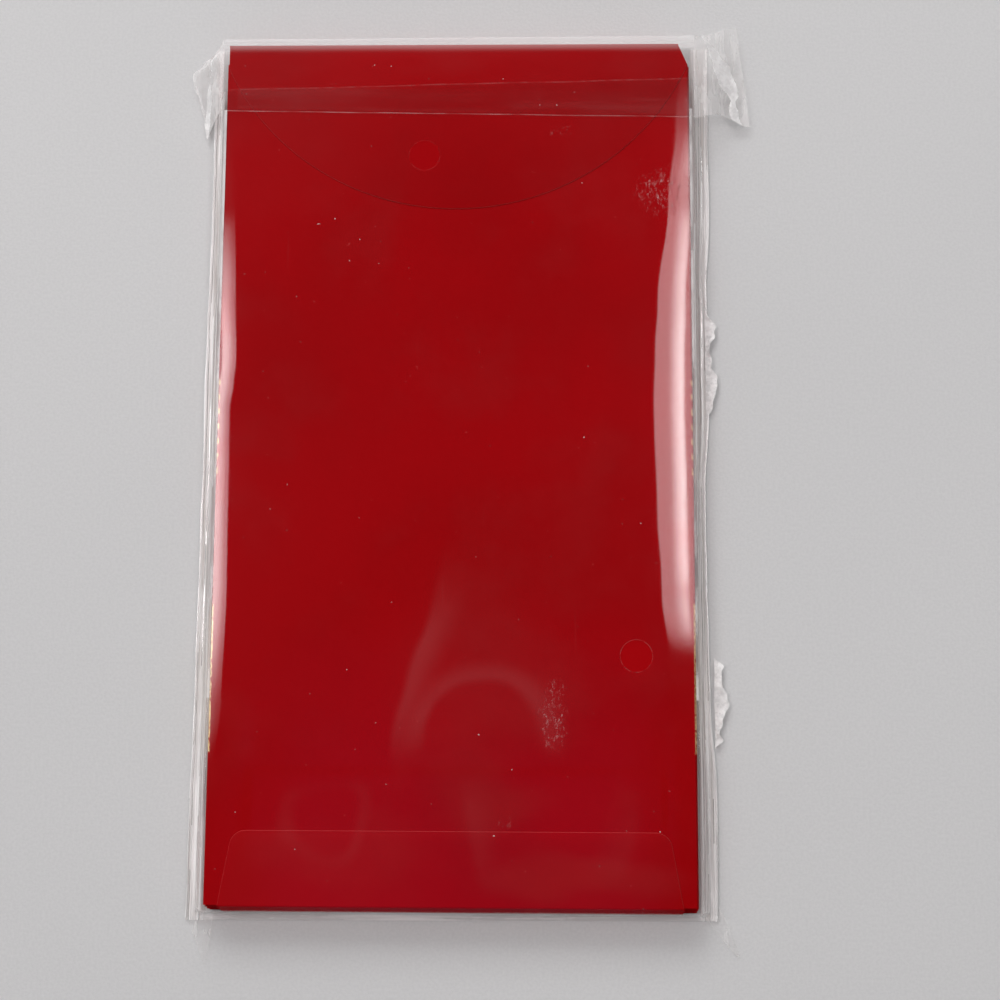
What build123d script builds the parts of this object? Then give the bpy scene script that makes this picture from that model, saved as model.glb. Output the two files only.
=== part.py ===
# Pack of red paper envelopes in a clear self-seal film sleeve, back side up.
# Millimetres. +X is right and +Y is towards the flap end, seen from above. The pack lies on Z = 0.
import os
from build123d import *

os.makedirs("parts", exist_ok=True)

# Envelope, folded from one sheet
envelope_width = 90.0
envelope_height = 165.0
paper = 0.18
glue = 0.03
pocket_slack = 0.06
top_flap_depth = 33.4
top_flap_side = 5.0
top_flap_inset = 0.3
top_flap_corner = 3.0
corner_cut_width = 1.8
corner_cut_height = 3.8
bottom_flap_height = 13.8
bottom_flap_inset = 2.6
bottom_flap_taper = 2.4
bottom_flap_corner = 3.0
side_tab_width = 14.0
side_tab_bevel = 6.0
back_panel_drop = 4.0
glue_margin = 2.5

# Stack
envelopes = 6
envelope_gap = 0.04
fan_step = 0.28
stagger = 0.15

# Sleeve
film = 0.06
film_gap = 0.08
end_gap = 1.025
side_gap = 0.75
side_run = 2.6
bottom_run = 1.6
seal_width = 1.5
mouth_drop = 9.2
closing_flap_length = 15.5
closing_flap_corner = 1.5
adhesive = 0.04
adhesive_width = 4.6
adhesive_margin = 0.5
adhesive_side = 2.0
vent_hole_radius = 3.0
low_vent_x = 34.0
low_vent_drop = 120.2
high_vent_x = -6.3
high_vent_drop = 23.8

# Levels inside one envelope, from its front face up
tab_top = 2 * paper + pocket_slack
back_top = tab_top + glue + paper
flap_top = back_top + glue + paper
half_width = envelope_width / 2
half_height = envelope_height / 2
front_left = -half_width + back_top / 2
front_right = half_width - tab_top / 2
front_end = half_height - flap_top / 2
back_right = half_width - paper
back_low = -front_end
back_high = half_height - back_panel_drop
back_middle = (back_low + back_high) / 2
fold_reach = (back_high - back_low) / 2
bottom_edge = half_width - bottom_flap_inset
top_edge = half_width - top_flap_inset
cut_end = half_width - corner_cut_width
cut_side = half_height - corner_cut_height

# Levels and edges of the stack and the sleeve
pitch = flap_top + envelope_gap
fan_reach = fan_step * (envelopes - 1) / 2
stack_low = film + film_gap
stack_top = stack_low + envelopes * pitch - envelope_gap
back_film_low = stack_top + film_gap
closing_low = back_film_low + film + adhesive
film_end = half_height + fan_reach + end_gap
film_side = half_width + stagger + side_gap
wall_foot = film_side + side_run
wall_skin = film * (back_film_low - film + side_run) / (back_film_low - film)
seal_edge = wall_foot + wall_skin + seal_width
mouth = film_end - mouth_drop


def fold_section(plane, edge, inward, top):
    # Half ring of paper that turns a fold at edge, from the front panel up to a panel with its face at top.
    outer = top / 2
    inner = outer - paper
    centre = edge + inward * outer
    with BuildSketch(plane) as section:
        with BuildLine():
            ThreePointArc((centre, 0), (edge, outer), (centre, top))
            Line((centre, top), (centre, top - paper))
            ThreePointArc((centre, top - paper), (centre - inward * inner, outer), (centre, paper))
            Line((centre, paper), (centre, 0))
        make_face()
    return section.sketch


# Front panel, flat between its four folds, with its upper right corner cut back
with BuildPart() as front_panel:
    with BuildSketch():
        with BuildLine():
            Polyline(
                (front_left, -front_end),
                (front_right, -front_end),
                (front_right, cut_side),
                (cut_end, front_end),
                (front_left, front_end),
                close=True,
            )
        make_face()
    extrude(amount=paper)

# Back panel, from the left fold across to the right edge
with BuildPart() as back_panel:
    with BuildSketch(Plane.XY.offset(back_top - paper)):
        with Locations(((front_left + back_right) / 2, back_middle)):
            Rectangle(back_right - front_left, back_high - back_low)
    extrude(amount=paper)

# Side tab, bevelled at both ends, folded in under the back panel
with BuildPart() as side_tab:
    with BuildSketch(Plane.XY.offset(tab_top - paper)):
        with BuildLine():
            Polyline(
                (front_right, back_low),
                (half_width - side_tab_width, back_low + side_tab_bevel),
                (half_width - side_tab_width, back_high - side_tab_bevel),
                (front_right, back_high),
                close=True,
            )
        make_face()
    extrude(amount=paper)

# Bottom flap, tapered and with rounded corners, folded up over the back panel
with BuildPart() as bottom_flap:
    with BuildSketch(Plane.XY.offset(flap_top - paper)):
        with BuildLine():
            Polyline(
                (bottom_edge, -front_end),
                (bottom_edge - bottom_flap_taper, -half_height + bottom_flap_height),
                (bottom_flap_taper - bottom_edge, -half_height + bottom_flap_height),
                (-bottom_edge, -front_end),
                close=True,
            )
        make_face()
        fillet(vertices().group_by(Axis.Y)[-1], bottom_flap_corner)
    extrude(amount=paper)

# Top flap, with straight sides, a cut corner and an arc edge, folded down over the back panel
with BuildPart() as top_flap:
    with BuildSketch(Plane.XY.offset(flap_top - paper)):
        with BuildLine():
            Polyline(
                (top_edge, half_height - top_flap_side),
                (top_edge, cut_side),
                (cut_end, front_end),
                (-top_edge, front_end),
                (-top_edge, half_height - top_flap_side),
            )
            ThreePointArc(
                (-top_edge, half_height - top_flap_side),
                (0, half_height - top_flap_depth),
                (top_edge, half_height - top_flap_side),
            )
        make_face()
        fillet(vertices().group_by(Axis.Y)[0], top_flap_corner)
    extrude(amount=paper)

# Folded edges, the rounded folds that join the front panel to the other panels and flaps
side_fold_plane = Plane.XZ.offset(-back_middle)
with BuildPart() as folded_edges:
    extrude(fold_section(side_fold_plane, -half_width, 1, back_top), fold_reach, both=True)
    extrude(fold_section(side_fold_plane, half_width, -1, tab_top), fold_reach, both=True)
    extrude(fold_section(Plane.YZ, -half_height, 1, flap_top), bottom_edge, both=True)
    extrude(fold_section(Plane.YZ.offset(-top_edge), half_height, -1, flap_top), top_edge + cut_end)

# Glue between the side tab and the back panel
with BuildPart() as side_seam_glue:
    with BuildSketch(Plane.XY.offset(tab_top)):
        with Locations((half_width - side_tab_width / 2, back_middle)):
            Rectangle(
                side_tab_width - 2 * glue_margin,
                back_high - back_low - 2 * (side_tab_bevel + glue_margin),
            )
    extrude(amount=glue)

# Glue between the back panel and the bottom flap
with BuildPart() as bottom_seam_glue:
    with BuildSketch(Plane.XY.offset(back_top)):
        with Locations((0, -half_height + bottom_flap_height / 2)):
            Rectangle(
                2 * (bottom_edge - bottom_flap_taper - bottom_flap_corner - glue_margin),
                bottom_flap_height - 2 * glue_margin,
            )
    extrude(amount=glue)

# The stack, slightly fanned: envelope 1 is on top and the lower ones stand out at the bottom edge
envelope_pieces = {
    "front_panel": front_panel,
    "back_panel": back_panel,
    "side_tab": side_tab,
    "bottom_flap": bottom_flap,
    "top_flap": top_flap,
    "folded_edges": folded_edges,
    "side_seam_glue": side_seam_glue,
    "bottom_seam_glue": bottom_seam_glue,
}
for number in range(1, envelopes + 1):
    shift_x = stagger if number % 2 == 0 else -stagger
    shift_y = fan_reach - fan_step * (number - 1)
    level = stack_low + pitch * (envelopes - number)
    for piece_name, piece in envelope_pieces.items():
        name = f"envelope_{number}_{piece_name}"
        placed = piece.part.moved(Location((shift_x, shift_y, level)))
        placed.label = name
        export_step(placed, f"parts/{name}.step")

# Front film, under the stack and out to the side seals
with BuildPart() as sleeve_front_film:
    with BuildSketch():
        Rectangle(2 * seal_edge, 2 * film_end)
    extrude(amount=film)
sleeve_front_film.part.label = "sleeve_front_film"
export_step(sleeve_front_film.part, "parts/sleeve_front_film.step")

# Back film, over the stack up to the mouth, with two punched vent holes
back_film_foot = bottom_run - film_end
with BuildPart() as sleeve_back_film:
    with BuildSketch(Plane.XY.offset(back_film_low)):
        with Locations((0, (back_film_foot + mouth) / 2)):
            Rectangle(2 * film_side, mouth - back_film_foot)
        with Locations(
            (low_vent_x, film_end - low_vent_drop),
            (high_vent_x, film_end - high_vent_drop),
        ):
            Circle(vent_hole_radius, mode=Mode.SUBTRACT)
    extrude(amount=film)
sleeve_back_film.part.label = "sleeve_back_film"
export_step(sleeve_back_film.part, "parts/sleeve_back_film.step")


def side_section(side):
    # The film that runs down from the back film's edge to the front film.
    with BuildSketch(Plane.XZ.offset(-mouth)) as section:
        with BuildLine():
            Polyline(
                (side * film_side, back_film_low),
                (side * film_side, back_film_low + film),
                (side * (wall_foot + wall_skin), film),
                (side * wall_foot, film),
                close=True,
            )
        make_face()
    return section.sketch


# Left and right side films
with BuildPart() as sleeve_left_side_film:
    extrude(side_section(-1), mouth + film_end, dir=(0, -1, 0))
sleeve_left_side_film.part.label = "sleeve_left_side_film"
export_step(sleeve_left_side_film.part, "parts/sleeve_left_side_film.step")

with BuildPart() as sleeve_right_side_film:
    extrude(side_section(1), mouth + film_end, dir=(0, -1, 0))
sleeve_right_side_film.part.label = "sleeve_right_side_film"
export_step(sleeve_right_side_film.part, "parts/sleeve_right_side_film.step")

# Bottom film, round the stack's bottom edge and between the side films
with BuildPart() as sleeve_bottom_film:
    with BuildSketch(Plane.YZ):
        with BuildLine():
            Polyline(
                (back_film_foot, back_film_low),
                (back_film_foot, back_film_low + film),
                (-film_end, film * 2),
                (-film_end, film),
                (film - film_end, film),
                close=True,
            )
        make_face()
    extrude(amount=wall_foot, both=True)
    with BuildSketch(Plane.XZ):
        with BuildLine():
            Polyline(
                (-wall_foot, film),
                (wall_foot, film),
                (film_side, back_film_low),
                (film_side, back_film_low + film),
                (-film_side, back_film_low + film),
                (-film_side, back_film_low),
                close=True,
            )
        make_face()
    extrude(amount=film_end, both=True, mode=Mode.INTERSECT)
sleeve_bottom_film.part.label = "sleeve_bottom_film"
export_step(sleeve_bottom_film.part, "parts/sleeve_bottom_film.step")

# Left and right side seals, the welded seams on the front film's edges
seal_middle = wall_foot + wall_skin + seal_width / 2
with BuildPart() as sleeve_left_seal:
    with BuildSketch(Plane.XY.offset(film)):
        with Locations((-seal_middle, (mouth - film_end) / 2)):
            Rectangle(seal_width, mouth + film_end)
    extrude(amount=film)
sleeve_left_seal.part.label = "sleeve_left_seal"
export_step(sleeve_left_seal.part, "parts/sleeve_left_seal.step")

with BuildPart() as sleeve_right_seal:
    with BuildSketch(Plane.XY.offset(film)):
        with Locations((seal_middle, (mouth - film_end) / 2)):
            Rectangle(seal_width, mouth + film_end)
    extrude(amount=film)
sleeve_right_seal.part.label = "sleeve_right_seal"
export_step(sleeve_right_seal.part, "parts/sleeve_right_seal.step")

# Top web, the film across the mouth, folded up from the front film
with BuildPart() as sleeve_top_web:
    with BuildSketch(Plane.YZ):
        with Locations((film_end + film / 2, (film + closing_low) / 2)):
            Rectangle(film, closing_low - film)
    extrude(amount=seal_edge, both=True)
sleeve_top_web.part.label = "sleeve_top_web"
export_step(sleeve_top_web.part, "parts/sleeve_top_web.step")

# Closing flap, folded down over the back film, with its free ends past the stack's sides
with BuildPart() as sleeve_closing_flap:
    with BuildSketch(Plane.XY.offset(closing_low)):
        with Locations((0, film_end - closing_flap_length / 2)):
            Rectangle(2 * seal_edge, closing_flap_length)
        fillet(vertices().group_by(Axis.Y)[0], closing_flap_corner)
    extrude(amount=film)
sleeve_closing_flap.part.label = "sleeve_closing_flap"
export_step(sleeve_closing_flap.part, "parts/sleeve_closing_flap.step")

# Adhesive strip on the closing flap's underside
strip_middle = film_end - closing_flap_length + adhesive_margin + adhesive_width / 2
with BuildPart() as flap_adhesive_strip:
    with BuildSketch(Plane.XY.offset(closing_low - adhesive)):
        with Locations((0, strip_middle)):
            Rectangle(2 * (film_side - adhesive_side), adhesive_width)
    extrude(amount=adhesive)
flap_adhesive_strip.part.label = "flap_adhesive_strip"
export_step(flap_adhesive_strip.part, "parts/flap_adhesive_strip.step")
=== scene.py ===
import math

import bpy
from mathutils import Matrix, Vector, noise


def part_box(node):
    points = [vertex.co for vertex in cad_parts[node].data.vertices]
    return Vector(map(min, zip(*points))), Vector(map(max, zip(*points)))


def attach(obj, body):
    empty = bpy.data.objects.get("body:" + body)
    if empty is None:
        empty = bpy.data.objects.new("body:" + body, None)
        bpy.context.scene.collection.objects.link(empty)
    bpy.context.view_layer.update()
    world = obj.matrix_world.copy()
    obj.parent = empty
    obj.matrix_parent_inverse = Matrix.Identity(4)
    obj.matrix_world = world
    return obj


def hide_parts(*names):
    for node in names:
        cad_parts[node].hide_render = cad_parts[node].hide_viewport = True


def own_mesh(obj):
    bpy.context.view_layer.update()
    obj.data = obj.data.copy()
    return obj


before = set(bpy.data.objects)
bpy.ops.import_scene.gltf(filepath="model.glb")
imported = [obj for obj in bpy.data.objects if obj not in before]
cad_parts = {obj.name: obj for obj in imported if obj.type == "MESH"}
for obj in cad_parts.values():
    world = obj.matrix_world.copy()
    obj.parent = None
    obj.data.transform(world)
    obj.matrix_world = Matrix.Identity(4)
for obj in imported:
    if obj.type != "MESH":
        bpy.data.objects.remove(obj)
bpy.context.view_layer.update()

MM = 0.001
ENVELOPES = 6

# Sizes of the film sleeve, in millimetres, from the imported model's own levels.
STACK_EDGE = 45.4        # where the film leaves the paper and turns down
WALL_RUN = 3.1           # how far the side wall leans out on its way down
SEAL_EDGE = 50.09        # outer edge of the welded side seams
FOOT_START = -82.25      # where the film turns down over the lower edge
FOOT_RUN = 1.3
HEM_START = -83.45       # flat hem below the wall
FILM_FOOT = -84.3
FILM_FOLD = 84.225       # the fold at the mouth end
MOUTH_EDGE = 75.0
FREE_EDGE = 68.7         # the closing flap's free edge
BACK_LEVEL = 5.60        # back film over the middle of the stack
ADHESIVE_LEVEL = 5.66
ADHESIVE_MARGIN, ADHESIVE_WIDTH = 0.5, 4.6
FLAP_LEVEL = 5.71
FIN_LEVEL = 0.30
LOW_VENT = (34.0, -35.975)
HIGH_VENT = (-6.3, 60.425)
VENT_RADIUS = 3.0
VENT_REACH = 4.5         # how far round a vent the film's grid follows it
RIM_RADIUS = 0.06        # the raised rim that the punch leaves
RIM_SQUASH = 0.6
RIM_LIFT = 0.01
LEVEL_PITCH = 0.88
STACK_LOW = 0.14


# ---------------------------------------------------------------- small helpers

def smooth(t):
    t = min(1.0, max(0.0, t))
    return t * t * (3 - 2 * t)


def past(t, soft):
    """t where it is positive and nothing where it isn't, with a soft corner."""
    return 0.5 * (t + math.sqrt(t * t + soft * soft))


def along(points, y):
    """A value read between (place, value) pairs that run upwards."""
    if y <= points[0][0]:
        return points[0][1]
    for (y0, a), (y1, b) in zip(points, points[1:]):
        if y <= y1:
            return a + (b - a) * smooth((y - y0) / (y1 - y0))
    return points[-1][1]


def ripple(x, y, size, seed):
    return noise.noise(Vector((x / size + 11.3 * seed, y / size - 7.1 * seed, 3.7 * seed)))


def crumple(x, y, seed):
    """Flat facets with sharp creases, as stiff clear film takes when it is bent back."""
    total = 0.0
    for k in range(5):
        turn = 0.9 + 1.27 * k + seed
        length = (3.1, 4.3, 2.2, 5.7, 1.7)[k]
        p = (x * math.cos(turn) + y * math.sin(turn)) / length + 0.31 * k + 0.7 * seed
        p += 0.35 * ripple(x, y, 6.0, seed + k)
        total += (1.0, 1.2, 0.6, 1.3, 0.4)[k] * abs(2 * (p - math.floor(p)) - 1)
    return total / 4.5 - 0.5


def spread(*runs):
    """Places along one axis from (start, end, step) runs."""
    places = []
    for start, end, step in runs:
        count = max(1, round((end - start) / step))
        places += [start + (end - start) * i / count for i in range(count)]
    return places + [runs[-1][1]]


def both_sides(half):
    """Places from 0 up, and the same places on the other side of 0."""
    return [-x for x in reversed(half[1:])] + half


def film_sheet(name, columns, rows, shape):
    """A flat grid with one line per place, then moved point by point to its draped shape."""
    bpy.ops.object.select_all(action="DESELECT")
    nx, ny = len(columns) - 1, len(rows) - 1
    bpy.ops.mesh.primitive_grid_add(x_subdivisions=nx, y_subdivisions=ny, size=2)
    sheet = bpy.context.object
    sheet.name = sheet.data.name = name
    for point in sheet.data.vertices:
        i = round((point.co.x + 1) / 2 * nx)
        j = round((point.co.y + 1) / 2 * ny)
        point.co = Vector(shape(columns[i], rows[j])) * MM
    bpy.ops.object.shade_smooth()
    return sheet


def joined(name, *pieces):
    bpy.ops.object.select_all(action="DESELECT")
    for piece in pieces:
        piece.select_set(True)
    bpy.context.view_layer.objects.active = pieces[0]
    bpy.ops.object.join()
    whole = bpy.context.object
    whole.name = whole.data.name = name
    return whole


def worn(piece, *looks):
    piece.data.materials.clear()
    for look in looks:
        piece.data.materials.append(look)


# ---------------------------------------------------------------- materials

def material(name):
    made = bpy.data.materials.new(name)
    made.use_nodes = True
    tree = made.node_tree
    return made, tree, tree.nodes["Principled BSDF"]


def node(tree, kind, **values):
    made = tree.nodes.new(kind)
    for key, value in values.items():
        if key in made.inputs:
            made.inputs[key].default_value = value
        else:
            setattr(made, key, value)
    return made


def place(tree):
    return node(tree, "ShaderNodeTexCoord").outputs["Object"]


def noise_of(tree, where, scale, detail=4.0, roughness=0.55, stretch=None):
    if stretch:
        turned = node(tree, "ShaderNodeMapping")
        turned.inputs["Scale"].default_value = stretch
        tree.links.new(where, turned.inputs["Vector"])
        where = turned.outputs["Vector"]
    made = node(tree, "ShaderNodeTexNoise", Scale=scale, Detail=detail, Roughness=roughness)
    tree.links.new(where, made.inputs["Vector"])
    return made.outputs["Fac"]


def ranged(tree, value, low, high, to_low, to_high):
    made = node(tree, "ShaderNodeMapRange", interpolation_type="SMOOTHSTEP")
    for key, number in zip(("From Min", "From Max", "To Min", "To Max"), (low, high, to_low, to_high)):
        made.inputs[key].default_value = number
    tree.links.new(value, made.inputs["Value"])
    return made.outputs["Result"]


def sums(tree, operation, a, b, clamp=False):
    made = node(tree, "ShaderNodeMath", operation=operation, use_clamp=clamp)
    for socket, value in zip(made.inputs, (a, b)):
        if isinstance(value, (int, float)):
            socket.default_value = value
        else:
            tree.links.new(value, socket)
    return made.outputs[0]


def mixed(tree, factor, a, b):
    made = node(tree, "ShaderNodeMix", data_type="RGBA")
    for socket, value in zip((made.inputs[0], made.inputs[6], made.inputs[7]), (factor, a, b)):
        if isinstance(value, tuple):
            socket.default_value = value
        else:
            tree.links.new(value, socket)
    return made.outputs[2]


def axes_of(tree, where):
    parts = node(tree, "ShaderNodeSeparateXYZ")
    tree.links.new(where, parts.inputs[0])
    return parts.outputs


def window(tree, value, low, high, soft_low, soft_high):
    """1 between low and high, fading to 0 towards each of them over its own soft width."""
    rise = ranged(tree, value, low, low + soft_low, 0, 1)
    fall = ranged(tree, value, high - soft_high, high, 1, 0)
    return sums(tree, "MULTIPLY", rise, fall)


def feed(tree, shader, **values):
    """Links each value to the shader's socket of that name, with _ for a space."""
    for key, value in values.items():
        tree.links.new(value, shader.inputs[key.replace("_", " ")])


def bumped(tree, shader, height, strength, distance):
    made = node(tree, "ShaderNodeBump", Strength=strength, Distance=distance)
    tree.links.new(height, made.inputs["Height"])
    tree.links.new(made.outputs["Normal"], shader.inputs["Normal"])


RED = (0.415, 0.0005, 0.0030, 1)
DEEP_RED = (0.375, 0.0004, 0.0025, 1)
# Paler red of the paper's cut core, lightened further as painted light; the paper's specks take it too.
CUT_RED_WITH_PAINTED_LIGHT = (0.72, 0.10, 0.10, 1)
GOLD = (0.90, 0.66, 0.33, 1)
# Red of the film's hazing and of the reflections painted into it.
HAZE_AND_REFLECTION_RED = (1.0, 0.06, 0.09, 1)
WHITE = (0.97, 0.97, 0.96, 1)
MIRROR = (0.96, 0.97, 0.97, 1)

FOIL_BAND = (-54.0, -26.2)       # lower and upper edge of the plain foil band
FOIL_LINES = (-2.6, 16.3)        # and of the group of plain foil lines
FOIL_SOFT = 0.3
FOIL_SHINE = 0.55
FOIL_EDGE = 44.74                # on the back panel, foil shows only past this, at the side folds
PAPER_SHINE = 0.04
REFLECTION_ARC_RIM = 2.6                   # how soft the sharp side of a painted reflection arc is
FACE_ON = 0.07                   # what clear film mirrors face on
ALONG = 0.85                     # and what it adds along its surface


def foil_cover(tree, where, start):
    """1 where the paper has foil: past start, off the middle, or all across where start is 0."""
    axes = axes_of(tree, where)
    soft = FOIL_SOFT * MM
    band = window(tree, axes["Y"], FOIL_BAND[0] * MM, FOIL_BAND[1] * MM, soft, soft)
    lines = window(tree, axes["Y"], FOIL_LINES[0] * MM, FOIL_LINES[1] * MM, soft, soft)
    wave = node(tree, "ShaderNodeTexWave", Scale=110, bands_direction="Y")
    tree.links.new(where, wave.inputs["Vector"])
    lines = sums(tree, "MULTIPLY", lines, ranged(tree, wave.outputs["Fac"], 0.62, 0.7, 0, 1))
    rubbed_from = 0.46 if start else 0.36
    rubbed = ranged(tree, noise_of(tree, where, 1500, 3), rubbed_from, rubbed_from + 0.1, 0, 1)
    cover = sums(tree, "MULTIPLY", sums(tree, "MAXIMUM", band, lines), rubbed)
    if start:
        out = sums(tree, "ABSOLUTE", axes["X"], 0)
        edge = ranged(tree, out, (start - 0.05) * MM, (start + 0.05) * MM, 0, 1)
        cover = sums(tree, "MULTIPLY", cover, edge)
    return cover


def red_paper(name, foil, cut=True):
    """Coated red paper with a fine fibre. foil is None, or where the foil of the printed side starts."""
    made, tree, shader = material(name)
    where = place(tree)
    fibre = noise_of(tree, where, 2600, 3)
    cloud = noise_of(tree, where, 28, 3)
    tone = mixed(tree, ranged(tree, cloud, 0.35, 0.68, 0, 1), RED, DEEP_RED)
    speck = ranged(tree, noise_of(tree, where, 900, 2), 0.74, 0.80, 0, 0.25)
    tone = mixed(tree, speck, tone, CUT_RED_WITH_PAINTED_LIGHT)
    gloss = ranged(tree, fibre, 0.3, 0.7, 0.34, 0.46)
    if foil is not None:
        cover = foil_cover(tree, where, foil)
        tone = mixed(tree, cover, tone, GOLD)
        gloss = sums(tree, "MULTIPLY", gloss, ranged(tree, cover, 0, 1, 1, 0.7))
        feed(tree, shader, Metallic=sums(tree, "MULTIPLY", cover, FOIL_SHINE))
    # Upright faces, the cut edges, get the paper's paler core red, lightened as painted light to offset the shadow
    # along each flap's step.
    if cut:
        face = axes_of(tree, node(tree, "ShaderNodeTexCoord").outputs["Normal"])
        upright = ranged(tree, sums(tree, "ABSOLUTE", face["Z"], 0), 0.5, 0.95, 1, 0)
        tone = mixed(tree, upright, tone, CUT_RED_WITH_PAINTED_LIGHT)
    feed(tree, shader, Base_Color=tone, Roughness=gloss)
    shader.inputs["Specular IOR Level"].default_value = PAPER_SHINE
    bumped(tree, shader, fibre, 0.10, 0.00004)
    return made


def dried_glue():
    made, tree, shader = material("dried_paper_glue")
    streak = noise_of(tree, place(tree), 300, 4, stretch=(1, 0.15, 1))
    tone = mixed(tree, streak, (0.80, 0.76, 0.66, 1), (0.88, 0.86, 0.80, 1))
    feed(tree, shader, Base_Color=tone, Roughness=ranged(tree, streak, 0.3, 0.7, 0.35, 0.6))
    bumped(tree, shader, streak, 0.3, 0.00003)
    return made


def spot_of(tree, where, x, y, wide, high):
    """1 at a place on the film and 0 on an ellipse round it."""
    spot = node(tree, "ShaderNodeMapping", vector_type="TEXTURE")
    spot.inputs["Location"].default_value = (x * MM, y * MM, BACK_LEVEL * MM)
    spot.inputs["Scale"].default_value = (wide * MM, high * MM, 1)
    tree.links.new(where, spot.inputs["Vector"])
    ball = node(tree, "ShaderNodeTexGradient", gradient_type="SPHERICAL")
    tree.links.new(spot.outputs["Vector"], ball.inputs["Vector"])
    return ball.outputs["Fac"]


def warped(tree, where, scale, reach):
    """The place again, pushed about by a slow noise."""
    made = node(tree, "ShaderNodeTexNoise", Scale=scale, Detail=1.0)
    tree.links.new(where, made.inputs["Vector"])
    off = node(tree, "ShaderNodeVectorMath", operation="SUBTRACT")
    tree.links.new(made.outputs["Color"], off.inputs[0])
    off.inputs[1].default_value = (0.5, 0.5, 0.5)
    pushed = node(tree, "ShaderNodeVectorMath", operation="MULTIPLY_ADD")
    tree.links.new(off.outputs[0], pushed.inputs[0])
    pushed.inputs[1].default_value = (reach * MM, reach * MM, 0)
    tree.links.new(where, pushed.inputs[2])
    return pushed.outputs[0]


def arc_of(tree, where, x, y, edge, fade, low, high, amount):
    """Painted reflection that starts on a circle and dies away inwards (fade below 0) or outwards, between two
    heights.
    """
    reach = edge + max(fade, 0) + 1

    def at(radius):
        return 1 - radius / reach

    near = spot_of(tree, where, x, y, reach, reach)
    if fade > 0:
        rise = ranged(tree, near, at(edge + REFLECTION_ARC_RIM), at(edge), 1, 0)
        decay = ranged(tree, near, at(edge + fade), at(edge + REFLECTION_ARC_RIM), 0, 1)
    else:
        rise = ranged(tree, near, at(edge), at(edge - REFLECTION_ARC_RIM), 0, 1)
        decay = ranged(tree, near, at(edge - REFLECTION_ARC_RIM), at(edge + fade), 1, 0)
    span = (high - low) * 0.4 * MM
    ends = window(tree, axes_of(tree, where)["Y"], low * MM, high * MM, span, span)
    return sums(tree, "MULTIPLY", sums(tree, "MULTIPLY", rise, decay), sums(tree, "MULTIPLY", ends, amount))


def mirrored_share(tree, face_on, grazing, power):
    """How much film mirrors: little face on, and far more along its surface."""
    slant = node(tree, "ShaderNodeLayerWeight", Blend=0.5).outputs["Facing"]
    return sums(tree, "ADD", sums(tree, "MULTIPLY", sums(tree, "POWER", slant, power), grazing), face_on)


def clear_film(name, cloud=0.01, streaks=0.012, scuffs=(), arcs=(), glows=(), rim=None):
    """Thin clear film with a mirror gloss, where hazing and scuffs scatter light, and glows and arcs are painted
    reflections. rim whitens it towards one end as a painted reflection of the bend at a fold.
    """
    made, tree, shader = material(name)
    where = place(tree)
    seen = mirrored_share(tree, FACE_ON, ALONG, 5.0)
    hair = noise_of(tree, where, 500, 5, 0.6, stretch=(1, 0.035, 1))
    haze_and_glow = ranged(tree, noise_of(tree, where, 60, 4), 0.40, 0.75, 0, cloud)
    haze_and_glow = sums(tree, "ADD", haze_and_glow, ranged(tree, hair, 0.66, 0.74, 0, streaks))
    bent = warped(tree, where, 38, 16)
    # Reddish patches painted in as reflections.
    for x, y, wide, high, amount in glows:
        spot = spot_of(tree, bent, x, y, wide, high)
        haze_and_glow = sums(tree, "ADD", haze_and_glow, ranged(tree, spot, 0, 0.8, 0, amount))
    white = ranged(tree, noise_of(tree, where, 1100, 1), 0.80, 0.84, 0, 0.35)
    # Arcs painted in as reflections, whitening the film.
    for arc in arcs:
        white = sums(tree, "ADD", white, arc_of(tree, bent, *arc))
    for x, y, wide, high, amount in scuffs:
        grain = noise_of(tree, where, 900, 14, 0.9, stretch=(1, 0.5, 1))
        spot = ranged(tree, spot_of(tree, where, x, y, wide, high), 0, 0.6, 0, 1)
        scuff = sums(tree, "MULTIPLY", spot, ranged(tree, grain, 0.52, 0.72, 0, amount))
        white = sums(tree, "ADD", white, scuff)
    # Whitening towards one end: a painted reflection of the light where the film bends over the fold.
    if rim:
        start, end, amount = rim
        whitened = ranged(tree, axes_of(tree, where)["Y"], start * MM, end * MM, 0, amount)
        white = sums(tree, "ADD", white, whitened)
    milky = sums(tree, "ADD", haze_and_glow, white)
    total = sums(tree, "ADD", seen, milky, clamp=True)
    share = sums(tree, "DIVIDE", milky, total, clamp=True)
    bright = sums(tree, "DIVIDE", white, sums(tree, "ADD", milky, 0.0001), clamp=True)
    tone = mixed(tree, bright, HAZE_AND_REFLECTION_RED, WHITE)
    tone = mixed(tree, ranged(tree, share, 0, 0.45, 0, 1), MIRROR, tone)
    feed(tree, shader, Alpha=total, Base_Color=tone)
    feed(tree, shader, Metallic=ranged(tree, share, 0, 1, 1, 0), Roughness=ranged(tree, share, 0, 1, 0.05, 0.6))
    bumped(tree, shader, hair, 0.02, 0.00002)
    return made


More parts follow.
